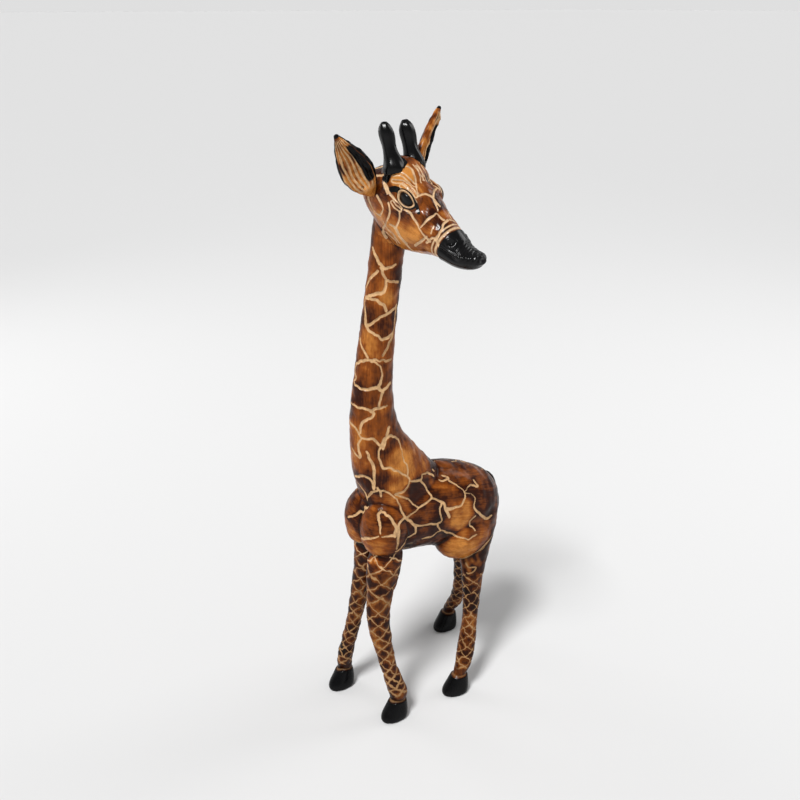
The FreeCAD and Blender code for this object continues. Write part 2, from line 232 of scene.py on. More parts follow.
# Folds above and below the eye.
LID_FOLDS = [
    [(-38, -33, 27), (-31, -25, 30), (-21, -21, 29), (-10, -16, 26)],
    [(-35, -31, 18), (-24, -26, 23), (-13, -25, 24), (-3, -26, 24), (5, -26, 21)],
    [(-21, -30, 20), (-10, -31, 21), (1, -31, 19), (10, -29, 14)],
    [(-18, -38, -3), (-10, -38, -5), (-2, -37, -5)],
]
EYE = (-4, -33, 11)
HORN = [(-43, -20, 22), (-92, -21, 71)]  # axis of an ossicone, from the skull to its tip
EYE_RADIUS = 6.9
TEAR = [(7, -30, 16), (14, -27, 10), (20, -27, 5)]
EYE_CORNER = [(-17, -33, 14), (-25, -33, 13), (-30, -34, 9)]
MOUTH = [(72, -24, -17), (86, -21, -17), (100, -19, -17), (113, -14, -13), (123, -5, -9), (126, 0, -8)]
BROW = [(-44, -30, 24), (-22, -30, 27), (2, -32, 22)]
CHEEK = [(-12, -38, -30), (22, -32, -34)]
TIP_LIFT, TIP_PULL = 5.0, 4.0  # how far the tip of the nose turns up and draws back
NOSTRIL = (79, -20, -3)
BLACK_FROM = 70  # the muzzle is painted black forward of here


def smooth_noise(points, wavelength, seed, octaves=2):
    """Smooth noise of about unit size: a sum of sine waves in random directions."""
    rng = np.random.default_rng(seed)
    total = np.zeros(len(points))
    for octave in range(octaves):
        for _ in range(7):
            direction = rng.normal(size=3)
            direction *= 2 * math.pi * 2 ** octave / (wavelength * np.linalg.norm(direction))
            direction *= rng.uniform(0.6, 1.4)
            total += np.sin(points @ direction + rng.uniform(0, 6.3)) / 2 ** octave
    return total / math.sqrt(7 * 0.6)


def warped(points, amount, wavelength, seed):
    return points + amount * np.stack([smooth_noise(points, wavelength, seed + k) for k in range(3)], 1)


def step(low, high, x):
    t = np.clip((x - low) / (high - low), 0, 1)
    return t * t * (3 - 2 * t)


def bell(x, width):
    return np.exp(-(x / width) ** 2)


def distance_to_lines(points, lines, reach=NO_LINE):
    """Distance from each point to the nearest of some polylines, looked for within reach."""
    best = np.full(len(points), reach)
    for line in lines:
        low, high = line.min(0) - reach, line.max(0) + reach
        near = np.nonzero(((points > low) & (points < high)).all(axis=1))[0]
        for a, b in zip(line[:-1], line[1:]):
            along = b - a
            t = np.clip(((points[near] - a) @ along) / (along @ along + 1e-9), 0, 1)
            away = np.linalg.norm(points[near] - a - t[:, None] * along, axis=1)
            best[near] = np.minimum(best[near], away)
    return best


def curve_through(points, steps=6):
    """Extra points on a Catmull-Rom curve through the given ones."""
    p = np.asarray(points, float)
    if len(p) < 3:
        return p
    p = np.vstack([2 * p[0] - p[1], p, 2 * p[-1] - p[-2]])
    out = []
    for i in range(1, len(p) - 2):
        for t in np.linspace(0, 1, steps, endpoint=False):
            out.append(0.5 * (2 * p[i] + (p[i + 1] - p[i - 1]) * t
                              + (2 * p[i - 1] - 5 * p[i] + 4 * p[i + 1] - p[i + 2]) * t * t
                              + (3 * p[i] - p[i - 1] - 3 * p[i + 1] + p[i + 2]) * t ** 3))
    return np.array(out + [p[-2]])


def lay_on(lines, tree, sway=0.6, spacing=2.5):
    """Curves through the given points, laid on the tree's skin with the slight sway of hand work."""
    laid = []
    for points in lines:
        curve = curve_through(points, 12)
        length = np.concatenate([[0], np.cumsum(np.linalg.norm(np.diff(curve, axis=0), axis=1))])
        at = np.linspace(0, length[-1], max(2, int(length[-1] / spacing)))
        curve = np.stack([np.interp(at, length, curve[:, k]) for k in range(3)], 1)
        curve = warped(curve, sway, 14, 31)
        laid.append(np.array([tree.find_nearest(point)[0] for point in curve.tolist()]))
    return laid


def read_out(items, key, width=1, kind=float):
    """One property of all vertices, loops or faces of a mesh, as a row of numbers."""
    values = np.empty(len(items) * width, kind)
    items.foreach_get(key, values)
    return values


def new_object(name, data):
    obj = bpy.data.objects.new(name, data)
    bpy.context.collection.objects.link(obj)
    return obj


def node_arrays(name):
    """Vertices in millimetres and triangles of a CAD node."""
    mesh = frame["nodes"][name].data
    mesh.calc_loop_triangles()
    tris = read_out(mesh.loop_triangles, "vertices", 3, int)
    return read_out(mesh.vertices, "co", 3).reshape(-1, 3) * 1000, tris.reshape(-1, 3)


def make_mesh(name, verts_mm, faces):
    mesh = bpy.data.meshes.new(name)
    mesh.from_pydata((verts_mm / 1000).tolist(), [], faces.tolist())
    return mesh


def remeshed(names, voxel_mm, smooth_mm):
    """One smooth skin of quads round the CAD nodes named: vertices in millimetres and faces."""
    parts, offset, tris = [], 0, []
    for name in names:
        v, t = node_arrays(name)
        parts.append(v)
        tris.append(t + offset)
        offset += len(v)
    mesh = make_mesh("source", np.vstack(parts), np.vstack(tris))
    obj = new_object("source", mesh)
    remesh = obj.modifiers.new("remesh", "REMESH")
    remesh.mode = "VOXEL"
    remesh.voxel_size = voxel_mm / 1000
    smooth = obj.modifiers.new("smooth", "SMOOTH")
    smooth.factor = 0.5
    smooth.iterations = max(2, int(2.2 * (smooth_mm / voxel_mm) ** 2))
    graph = bpy.context.evaluated_depsgraph_get()
    result = bpy.data.meshes.new_from_object(obj.evaluated_get(graph))
    bpy.data.objects.remove(obj)
    verts = read_out(result.vertices, "co", 3).reshape(-1, 3) * 1000
    faces = read_out(result.loops, "vertex_index", 1, int)
    assert (read_out(result.polygons, "loop_total", 1, int) == 4).all()
    return largest_shell(verts, faces.reshape(-1, 4))


def largest_shell(verts, faces):
    """Keeps the connected shell with most faces, so that any inner bubble goes."""
    label = np.arange(len(verts))
    while True:
        low = label[faces].min(axis=1)
        new = label.copy()
        np.minimum.at(new, faces.ravel(), np.repeat(low, 4))
        new = new[new]
        if (new == label).all():
            break
        label = new
    keep = label[faces[:, 0]] == np.bincount(label[faces[:, 0]]).argmax()
    return compact(verts, faces[keep])[:2]


def compact(verts, faces):
    """Drops unused vertices; also gives the old index of each kept vertex."""
    used = np.unique(faces)
    index = np.full(len(verts), -1)
    index[used] = np.arange(len(used))
    return verts[used], index[faces], used


def normals_of(verts, faces):
    a, b, c, d = (verts[faces[:, k]] for k in range(4))
    face_normal = np.cross(c - a, d - b)
    total = np.zeros_like(verts)
    for k in range(4):
        np.add.at(total, faces[:, k], face_normal)
    return total / (np.linalg.norm(total, axis=1, keepdims=True) + 1e-12)


def relax(values, faces, rounds):
    """Averages a per-vertex value along mesh edges."""
    edges = np.vstack([faces[:, [k, (k + 1) % 4]] for k in range(4)])
    count = np.bincount(edges.ravel(), minlength=len(values)).astype(float)
    for _ in range(rounds):
        total = np.bincount(edges[:, 0], values[edges[:, 1]], len(values))
        total += np.bincount(edges[:, 1], values[edges[:, 0]], len(values))
        values = 0.5 * values + 0.5 * total / count
    return values


def crease_shade_of(verts, faces, voxel):
    """How deep each point lies below the smoothed surface round it: 1 deep in creases, 0 in the open. It is
    kept for painting shade into the creases.
    """
    rounds = int(60 * (1.2 / voxel) ** 2)
    smooth = np.stack([relax(verts[:, k], faces, rounds) for k in range(3)], 1)
    return np.clip(((smooth - verts) * normals_of(verts, faces)).sum(1) / 2.2, 0, 1)


# Carving the body.


def neck_axis(z):
    heights = [372, 432, 500, 540, 590, 650, 710, 770, 850]
    across = [0, 0, 0, 0, 1, 3, 6, 9, 16]
    back = [34, 22, 8, 6, 8, 14, 21, 28, 36]
    return NECK_FOOT[0] + np.interp(z, heights, across), NECK_FOOT[1] + np.interp(z, heights, back)


def round_the_neck(lines):
    """Points outside the neck's skin, from heights and angles."""
    reach = 45.0
    placed = []
    for line in lines:
        centres = [neck_axis(z) for z, _ in line]
        turns = [math.radians(angle) for _, angle in line]
        placed.append([(c[0] + reach * math.cos(t), c[1] + reach * math.sin(t), z)
                       for c, t, (z, _) in zip(centres, turns, line)])
    return placed


def on_the_chest(lines):
    """Points before the chest, from x and height."""
    return [[(x, CHEST_Y, z) for x, z in line] for line in lines]


def on_the_flank(lines):
    """Points beside the near flank, from y and height."""
    return [[(FLANK_X, y, z) for y, z in line] for line in lines]


def patch_centres():
    """All patch centres with their tones: the listed ones and a loosened mirror copy."""
    rng = np.random.default_rng(11)
    centres, tones = [], []
    for z, angle, tone in NECK_PATCHES:
        radius = np.interp(z, [412, 455, 500, 560, 850], [60, 50, 38, 31, 25])
        for side in (1, -1):
            if side < 0 and (angle > 85 or angle < -85):
                continue
            loose = rng.uniform(-9, 9, 2) if side < 0 else (0, 0)
            turn = math.radians(angle if side > 0 else 180 - angle + loose[0])
            cx, cy = neck_axis(z)
            centres.append((cx + radius * math.cos(turn), cy + radius * math.sin(turn), z + loose[1]))
            tones.append(tone if side > 0 else np.clip(tone + rng.uniform(-0.25, 0.25), 0, 1))
    for x, y, z, tone in TRUNK_PATCHES:
        centres.append((x, y, z))
        tones.append(tone)
        if x > MIDDLE_X + 12:
            loose = rng.uniform(-7, 7, 3)
            centres.append((2 * MIDDLE_X - x + loose[0], y + loose[1], z + loose[2]))
            tones.append(np.clip(tone + rng.uniform(-0.25, 0.25), 0, 1))
    return np.array(centres), np.array(tones)


def patch_network(points, normals):
    """Distance to the nearest line between patches, the patch's tone and its number."""
    centres, tones = patch_centres()
    centres = np.array([points[((points - c) ** 2).sum(1).argmin()] for c in centres])
    fine = np.stack([smooth_noise(points, 17, 40 + k, 1) for k in range(3)], 1)
    moved = warped(points, 4.2, 46, 21) + 1.5 * fine
    line = np.empty(len(points))
    owner = np.empty(len(points), int)
    for start in range(0, len(points), 20000):
        part = moved[start:start + 20000]
        d = ((part[:, None, :] - centres[None]) ** 2).sum(2)
        order = np.argpartition(d, 2, axis=1)[:, :3]
        near = np.take_along_axis(d, order, 1)
        rank = near.argsort(1)
        order = np.take_along_axis(order, rank, 1)
        near = np.take_along_axis(near, rank, 1)
        apart = centres[order[:, 0]] - centres[order[:, 1]]
        gap = np.linalg.norm(apart, axis=1) + 1e-6
        lean = (apart * normals[start:start + 20000]).sum(1) / gap
        steep = np.sqrt(np.clip(1 - lean ** 2, 0.12, 1))
        line[start:start + 20000] = (near[:, 1] - near[:, 0]) / (2 * gap * steep)
        owner[start:start + 20000] = order[:, 0]
    return line, tones[owner], owner


class Leg:
    """A leg's centre line, read off its CAD node, and the crossing lines cut round it."""

    def __init__(self, name, facing, pitch_top):
        verts, _ = node_arrays(name)
        self.name = name
        self.heights = np.arange(36, 262, 12.0)
        rows = [verts[abs(verts[:, 2] - h) < 9] for h in self.heights]
        self.x = np.array([(r[:, 0].min() + r[:, 0].max()) / 2 for r in rows])
        self.y = np.array([(r[:, 1].min() + r[:, 1].max()) / 2 for r in rows])
        self.facing, self.pitch_top = math.radians(facing), pitch_top

    def lattice(self, points):
        """Distance to the nearest of the crossing lines."""
        moved = warped(points, 1.0, 18, 60)
        z = moved[:, 2]
        dx = moved[:, 0] - np.interp(z, self.heights, self.x)
        dy = moved[:, 1] - np.interp(z, self.heights, self.y)
        radius = np.hypot(dx, dy) + 1e-6
        turn = AROUND * (np.arctan2(dy, dx) - self.facing) / (2 * math.pi)
        growth = (self.pitch_top - LOWEST_PITCH) / 215.0
        pitch = LOWEST_PITCH + growth * (z - 40)
        rise = np.log(np.maximum(pitch, 5)) / growth
        slope = np.hypot(AROUND / (2 * math.pi * radius), 1 / pitch)
        a, b = turn + rise, turn - rise
        near_a, near_b = abs(a - np.round(a)) / slope, abs(b - np.round(b)) / slope
        return np.minimum(near_a, near_b)


LEGS = [
    Leg("leg_front_left", -35, 27), Leg("leg_front_right", -55, 25),
    Leg("leg_hind_left", -35, 22), Leg("leg_hind_right", -60, 22),
]


def soft_mean(points, centres, values, spread):
    """Values of the centres blended smoothly over the points."""
    total, weight = np.zeros(len(points)), np.full(len(points), 1e-9)
    for centre, value in zip(centres, values):
        w = np.exp(-((points - centre) ** 2).sum(1) / (2 * spread ** 2))
        total += w * value
        weight += w
    return total / weight


def carve_body(verts, faces, labels, joint, tree):
    """Cuts the grooves and shapes the hooves: new vertices, and each vertex's values for painting, painted
    shade among them.
    """
    normals = normals_of(verts, faces)
    x, y, z = verts.T
    network, tone, owner = patch_network(verts, normals)
    cell = (owner * SPREAD) % 1.0
    # The near side and the front carry the listed lines, the far side and the back the network.
    near_side = relax(normals @ NEAR_SIDE, faces, 30)
    listed = step(-0.22, -0.02, near_side)
    lines = round_the_neck(NECK_LINES) + on_the_chest(CHEST_LINES) + on_the_flank(FLANK_LINES)
    traced = distance_to_lines(verts, lay_on(lines, tree))
    centres, tones = patch_centres()
    soft_tone = soft_mean(verts, centres, tones, 11.0)
    soft_cell = soft_mean(verts, centres, (np.arange(len(tones)) * SPREAD) % 1.0, 11.0)
    tone, cell = tone + listed * (soft_tone - tone), cell + listed * (soft_cell - cell)
    cell = np.clip(cell * 0.5 + np.where(labels == NODE_ID["neck"], 0.05, 0.45), 0, 1)
    plain_part = np.where(near_side > NEAR_LIMIT, traced, network)
    # Front legs carry their lattice up to the underside of the breast, hind legs up to the thigh.
    is_leg = np.isin(labels, [NODE_ID[leg.name] for leg in LEGS])
    on_trunk = labels == NODE_ID["trunk"]
    is_leg |= (y < -46) & (z < 298 + 3 * smooth_noise(verts, 40, 4, 1)) & on_trunk
    leg_line = np.full(len(verts), NO_LINE)
    for leg in LEGS:
        mine = labels == NODE_ID[leg.name]
        if "front" in leg.name:
            mine |= is_leg & on_trunk & ((x > MIDDLE_X) == (leg.name == "leg_front_left"))
        leg_line[mine] = leg.lattice(verts[mine])
    thigh = distance_to_lines(verts, lay_on(on_the_flank(THIGH_LINES), tree))
    on_thigh = (labels == NODE_ID["leg_hind_left"]) & (z > 205) & (near_side > NEAR_LIMIT)
    leg_line = np.where(on_thigh, thigh, leg_line)
    half = np.where(is_leg, LEG_GROOVE_HALF_WIDTH, GROOVE_HALF_WIDTH)
    half = np.where(on_thigh, 1.6, half) * (1 + 0.25 * smooth_noise(verts, 40, 5, 1))
    depth = np.where(is_leg, LEG_GROOVE_DEPTH, GROOVE_DEPTH) * (1 + 0.25 * smooth_noise(verts, 55, 6, 1))
    edge = np.where(is_leg, leg_line, plain_part)
    seam = np.where((z < 300) & (y > HIND_Y), abs(joint) + 0.5, NO_LINE)
    edge = np.minimum(edge, seam)
    groove = np.exp(-(edge / half) ** 4)
    # Hooves: black from a wavy rim down, with a step where the horn begins, and plain ankles above.
    rim = HOOF_TOP + 1.2 * smooth_noise(verts, 30, 8, 1)
    foot = is_leg & (z < 60)
    groove = np.where(foot, groove * step(42, 52, z), groove)
    hoof = np.where(foot, step(1.2, -1.2, z - rim), 0)
    band = np.where(foot, bell(z - rim - 2.6, 1.8), 0)
    bumps = 0.35 * smooth_noise(verts, 34, 9) + 0.12 * smooth_noise(verts, 9, 10, 1)
    crease = lay_on([BREAST_CREASE, [(2 * MIDDLE_X - a, b, c) for a, b, c in BREAST_CREASE]], tree, 0.3)
    under = distance_to_lines(verts, crease, 24.0)
    fold = bell(under, 4.5)
    swell = bell(under - 11, 7) * step(298, 304, z) * (y < FORE_Y)
    move = 1.5 * hoof - 0.7 * band - depth * groove + bumps * (1 - hoof) - 1.3 * fold + 0.9 * swell
    moved = verts + normals * move[:, None]
    moved[:, 2] = np.where(z < 2.5, z, moved[:, 2])
    values = {
        "groove": np.maximum(groove, 0.45 * band), "paint": hoof, "edge": np.exp(-edge / 7.0), "tone": tone,
        "cell": cell,
    }
    middle = step(2.2, 6.0, edge)
    leg_tone = 0.62 - 0.38 * middle + 0.16 * smooth_noise(verts, 60, 12)
    leg_tone = np.where(on_thigh, 0.40 + 0.3 * smooth_noise(verts, 22, 13), leg_tone)
    values["tone"] = values["tone"] + np.where(on_trunk, 0.09, 0.0)
    near_leg, far_leg = labels == NODE_ID["leg_front_left"], labels == NODE_ID["leg_front_right"]
    # Painted shade: the far front leg and the hind legs are made darker.
    far_leg_shade = np.select([near_leg, far_leg, is_leg], [0.0, 0.16, 0.19], 0)
    leg_tone = np.where(z < 48, 0.30, leg_tone) - far_leg_shade
    # Painted shade: skin that faces downwards is darkened.
    underside_shade = np.clip(-normals[:, 2], 0, 1)
    values["tone"] = np.clip(np.where(is_leg, leg_tone, values["tone"]) - 0.30 * underside_shade, 0, 1)
    # Painted shade: the tone is darkened along the fold under the breast lobes.
    values["tone"] = np.clip(values["tone"] - 0.4 * fold, 0, 1)
    values["edge"] = np.where(is_leg, 0.15 * values["edge"], values["edge"])
    # Painted shade: the cut lines on the far front leg and the hind legs are darkened too.
    values["groove"] = values["groove"] * np.where(is_leg, 1 - 1.6 * far_leg_shade, 1)
    return moved, values


# Carving the head.


def in_part_frame(lines):
    return [[tuple(head_point(*point)) for point in line] for line in lines]


def on_both_sides(lines):
    """Head-frame lines and their mirror images, in the part's frame."""
    return in_part_frame(lines + [[(f, -l, u) for f, l, u in line] for line in lines])


def in_head_frame(verts):
    return [(verts - HEAD_ORIGIN) @ axis for axis in (FORWARD, LEFT, UP)]


def carve_head(verts, faces, tree):
    """Carves the brows, eyes, folds, nostrils, muzzle ridges and mouth, and the lines of the face."""
    normals = normals_of(verts, faces)
    f, l, u = in_head_frame(verts)
    facing = normals @ UP
    side = np.stack([f, -abs(l), u], 1)
    lines = on_both_sides(FACE_LINES + SKULL_LINES) + in_part_frame(MIDDLE_LINES)
    edge = distance_to_lines(verts, lay_on(lines, tree, 0.3))
    stroke = distance_to_lines(verts, lay_on(on_both_sides(FACE_STROKES), tree, 0.2), 6.0)
    folds = distance_to_lines(verts, lay_on(on_both_sides(LID_FOLDS), tree, 0.2), 6.0)
    tear, corner = (distance_to_lines(verts, lay_on(on_both_sides([line]), tree, 0.0), 20.0)
                    for line in (TEAR, EYE_CORNER))
    network, _, _ = patch_network(verts, normals)
    traced = distance_to_lines(verts, lay_on(round_the_neck(NECK_LINES), tree))
    near_side = relax(normals @ NEAR_SIDE, faces, 50)
    neck_part = np.where(near_side > NEAR_LIMIT, traced, network)
    below = (verts[:, 2] < 812) | (f < -56)
    edge = np.minimum(edge, np.where(below, neck_part, NO_LINE))
    half = GROOVE_HALF_WIDTH * (1 + 0.2 * smooth_noise(verts, 25, 70, 1))
    half = np.where(below, half, 0.85 * half)
    groove = np.exp(-(edge / half) ** 4)
    thin = bell(stroke, 1.0)

    # Eyes: a ball in an almond-shaped ring, in a dark hollow.
    right_eye = side - np.array(EYE)
    tilt = math.radians(-8)
    along = right_eye[:, 0] * math.cos(tilt) + right_eye[:, 2] * math.sin(tilt)
    across = -right_eye[:, 0] * math.sin(tilt) + right_eye[:, 2] * math.cos(tilt)
    on_the_side = step(-18, -26, side[:, 1])
    almond = np.hypot(along / 1.62, across) / EYE_RADIUS
    almond = np.where(on_the_side > 0, almond + 3 * (1 - on_the_side), 9)
    eye_bulge = 3.4 * np.sqrt(np.clip(1 - almond ** 2, 0, 1))
    socket = -2.2 * step(1.22, 1.0, almond) + 1.3 * bell(almond - 1.24, 0.13)
    hollow = -1.2 * bell(almond - 1.7, 0.3)

    # Muzzle: a black nose with ridges across its top, rimmed nostrils and a long mouth.
    along_muzzle = f + 0.10 * (u + 10) + 0.0042 * l * l - BLACK_FROM
    on_muzzle = step(-1.2, 1.2, along_muzzle)
    nose = side - np.array(NOSTRIL)
    ring = np.hypot(np.hypot(nose[:, 0], nose[:, 2] * 1.25), nose[:, 1] * 0.6)
    nostril = -3.0 * bell(ring, 3.2) + 1.3 * bell(ring - 6.2, 1.8)
    ridge_phase = (f - 0.5 * abs(l) + 1.5 * smooth_noise(verts, 30, 75, 1)) / 6.0
    soft_facing = relax(facing, faces, 40)
    on_top = step(BLACK_FROM + 12, BLACK_FROM + 20, f) * step(0.0, 0.5, soft_facing)
    ridges = 0.45 * np.cos(2 * math.pi * ridge_phase) * on_top
    mouth_gap = distance_to_lines(side, [curve_through(MOUTH)], 12.0)
    mouth = -2.1 * bell(mouth_gap, 1.9)
    lip = 1.5 * bell(mouth_gap - 4.0, 2.2) * on_muzzle * step(-22, -12, u)
    muzzle_step = 1.1 * on_muzzle
    collar = np.maximum(bell(along_muzzle + 3.2, 1.5), 0.8 * bell(along_muzzle + 8.5, 1.2))

    brow = 1.6 * bell(distance_to_lines(side, [curve_through(BROW)], 30.0), 9)
    cheek = 1.8 * bell(distance_to_lines(side, [curve_through(CHEEK)], 40.0), 14)
    bumps = 0.35 * smooth_noise(verts, 26, 71) + 0.1 * smooth_noise(verts, 8, 72, 1)
    clear = 1 - np.clip(step(1.5, 1.25, almond) + on_muzzle, 0, 1)
    groove, thin = groove * clear, thin * np.clip(1 - on_muzzle - step(1.35, 1.1, almond), 0, 1)
    fold = -1.1 * bell(folds, 1.2) * clear
    move = -GROOVE_DEPTH * groove - 0.4 * thin + fold + brow + cheek + bumps * clear
    move += (eye_bulge + socket + hollow) + (nostril + ridges + lip) * on_muzzle + mouth * on_muzzle
    move += muzzle_step - 0.5 * collar * clear
    tip = (UP * TIP_LIFT - FORWARD * TIP_PULL) * step(84, 128, f)[:, None]
    moved = verts + normals * move[:, None] + tip

    outline = step(1.24, 1.34, almond) * step(1.62, 1.46, almond)
    dark = np.maximum.reduce([step(2.8, 1.8, tear), step(4.8, 3.4, corner), 0.9 * outline])
    dark *= step(1.16, 1.3, almond)
    horn_gap = distance_to_lines(side, [np.array(HORN, float)], 30.0) + 1.2 * smooth_noise(verts, 16, 76, 1)
    horn_foot = step(18.5, 17.0, horn_gap) * step(-20, -30, f + 0.5 * abs(l))
    paint = np.maximum.reduce([on_muzzle, step(1.10, 1.03, almond), dark, horn_foot])
    cream = bell(almond - 1.20, 0.11)
    rim = 0.55 * bell(ring - 5.0, 1.1) * step(-2, 2, nose[:, 2] - nose[:, 0]) * on_muzzle
    lid = 0.75 * bell(folds - 2.2, 1.0) * clear
    line_light = np.maximum.reduce([groove, 0.8 * thin, lid, cream, 0.9 * collar * clear])
    line_light = np.clip(line_light, 0, 1) * (1 - horn_foot)
    paint = np.clip(paint - cream - 0.6 * rim, 0, 1)
    patch = 0.12 * smooth_noise(verts, 40, 73)
    face_tone = 0.66 + patch
    face_tone = np.where((u > 18) & (abs(l) < 13), 0.44 + patch, face_tone)
    face_tone = np.where((u > 13) & (abs(l) > 12) & (f > -46) & (f < 8), 0.98, face_tone)
    face_tone = np.where((f > 8) & (f < 36) & (u > -4), 0.43 + patch, face_tone)
    face_tone = np.where((f < -40) & (u > -12), 0.22, face_tone)
    face_tone = np.where((u < -14) & (f > -16) & (f < 46), 1.0 + patch, face_tone)
    face_tone = relax(face_tone, faces, 14)
    values = {
        "groove": np.maximum(line_light, rim), "paint": paint, "edge": np.exp(-edge / 7.0),
        "tone": np.clip(face_tone, 0, 1),
        "cell": np.clip(0.5 + 0.3 * smooth_noise(verts, 90, 74), 0, 1),
    }
    return moved, values


# The pieces.


NODE_ID = {name: k for k, name in enumerate(
    ["trunk", "neck", "head", "leg_front_left", "leg_front_right", "leg_hind_left", "leg_hind_right"])}
BODY_NODES = list(NODE_ID)


def nearest_gap(verts, name):
    """Distance in millimetres from each point to a CAD node's surface."""
    v, t = node_arrays(name)
    tree = BVHTree.FromPolygons(v.tolist(), t.tolist())
    return np.array([tree.find_nearest(p)[3] for p in verts.tolist()])


def above_head_joint(verts):
    return (verts - HEAD_JOINT) @ HEAD_JOINT_NORMAL


def label_body(verts, faces):
    """The CAD node that each vertex of the body belongs to, and its distance past the nearest leg joint."""
    x, y, z = verts.T
    labels = np.zeros(len(verts), int)
    joint = np.full(len(verts), 1e9)
    neck_side = (z - 414) - 0.16 * (y + 57.4)
    labels[neck_side > 0] = NODE_ID["neck"]
    labels[(above_head_joint(verts) > 0) & (z > 700)] = NODE_ID["head"]
    front = (z < FRONT_LEG_TOP) & (y < FORE_Y)
    labels[front & (x > MIDDLE_X)] = NODE_ID["leg_front_left"]
    labels[front & (x <= MIDDLE_X)] = NODE_ID["leg_front_right"]
    near_front = (y < FORE_Y) & (z < 330)
    joint[near_front] = z[near_front] - FRONT_LEG_TOP
    for name, side in (("leg_hind_left", 1), ("leg_hind_right", -1)):
        behind = (y > HIND_Y) & ((x - MIDDLE_X) * side > 0)
        lower = np.nonzero((z < 300) & behind)[0]
        gap = nearest_gap(verts[lower], "trunk") - nearest_gap(verts[lower], name)
        whole = np.full(len(verts), -9.0)
        whole[lower] = np.clip(gap, -9, 9)
        whole[(z < 215) & behind] = 9
        whole = relax(whole, faces, 6)
        labels[whole > 0] = NODE_ID[name]
        nearer = abs(whole) < np.minimum(abs(joint), 8.5)
        joint[nearer] = whole[nearer]
    return labels, joint


def split_piece(name, node, verts, faces, normals, values, keep):
    """Makes one closed piece of the faces kept, with the whole body's normals so that no seam shows."""
    v, f, used = compact(verts, faces[keep])
    mesh = make_mesh(name, v, f)
    mesh.validate()
    for key, value in values.items():
        layer = mesh.attributes.new(key, "FLOAT", "POINT")
        layer.data.foreach_set("value", value[used].astype(np.float32))
    work = bmesh.new()
    work.from_mesh(mesh)
    border = [e for e in work.edges if e.is_boundary]
    if border:
        bmesh.ops.holes_fill(work, edges=border, sides=0)
        caps = [face for face in work.faces if len(face.verts) > 4]
        bmesh.ops.triangulate(work, faces=caps)
    work.to_mesh(mesh)
    work.free()
    for polygon in mesh.polygons:
        polygon.use_smooth = True
    mesh.normals_split_custom_set_from_vertices(normals[used].tolist())
    obj = new_object(name, mesh)
    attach(obj, "root")
    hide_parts(node)


SLOTS = {s["node"]: s["material_slot"] for s in frame["record"]["subparts"]}


def build_body():
    """The carved body, neck and legs, split into their pieces."""
    verts, faces = remeshed(BODY_NODES, BODY_VOXEL, 2.6)
    labels, joint = label_body(verts, faces)
    tree = BVHTree.FromPolygons(verts.tolist(), faces.tolist())
    moved, values = carve_body(verts, faces, labels, joint, tree)
    # Painted shade: how deep each point lies in the creases, to darken it there.
    values["crease"] = crease_shade_of(verts, faces, BODY_VOXEL)
    values["grain_x"], values["grain_y"], values["grain_z"] = grain_of_body(verts, labels)
    normals = normals_of(moved, faces)
    face_label = np.sort(labels[faces], axis=1)[:, 1]
    for node, number in NODE_ID.items():
        if node != "head":
            split_piece("carved_" + node, node, moved, faces, normals, values, face_label == number)


def build_head():
    """The carved head, from a finer skin of the head and the neck's top."""
    verts, faces = remeshed(["head", "neck"], HEAD_VOXEL, 3.0)
    near = verts[:, 2] > 735
    keep = near[faces].all(axis=1)
    verts, faces, _ = compact(verts, faces[keep])
    tree = BVHTree.FromPolygons(verts.tolist(), faces.tolist())
    moved, values = carve_head(verts, faces, tree)
    # Painted shade: how deep each point lies in the creases, to darken it there.
    values["crease"] = crease_shade_of(verts, faces, HEAD_VOXEL)
    f, l, u = in_head_frame(verts)
    values["grain_x"], values["grain_y"], values["grain_z"] = f * 0.10, l, u
    normals = normals_of(moved, faces)
    keep = (above_head_joint(verts)[faces] > -0.5).sum(axis=1) >= 3
    split_piece("carved_head", "head", moved, faces, normals, values, keep)


def grain_of_body(verts, labels):
    """Coordinates stretched along the grain: upright in neck and legs, lengthwise rings in the trunk."""
    x, y, z = verts.T
    trunk = labels == NODE_ID["trunk"]
    ring = np.hypot((x - MIDDLE_X) * 0.8 - 14, z - 455 + 0.25 * y)
    upright = (x, y, z * 0.05)
    lengthwise = (ring * 0.9, y * 0.05, x * 0.12)
    return [np.where(trunk, b, a) for a, b in zip(upright, lengthwise)]


def add_piece(node, verts, faces, values):
    """A piece that is carved on its own."""
    whole = np.ones(len(faces), bool)
    split_piece("carved_" + node, node, verts, faces, normals_of(verts, faces), values, whole)


EAR_ALONG = [-0.2, 0, 0.14, 0.32, 0.52, 0.72, 0.89, 1.0]  # part of an ear's length
EAR_WIDTH = [0.43, 0.66, 0.98, 1.12, 1.0, 0.70, 0.36, 0.12]  # and its half width there, of EAR_HALF
EAR_HALF = 21


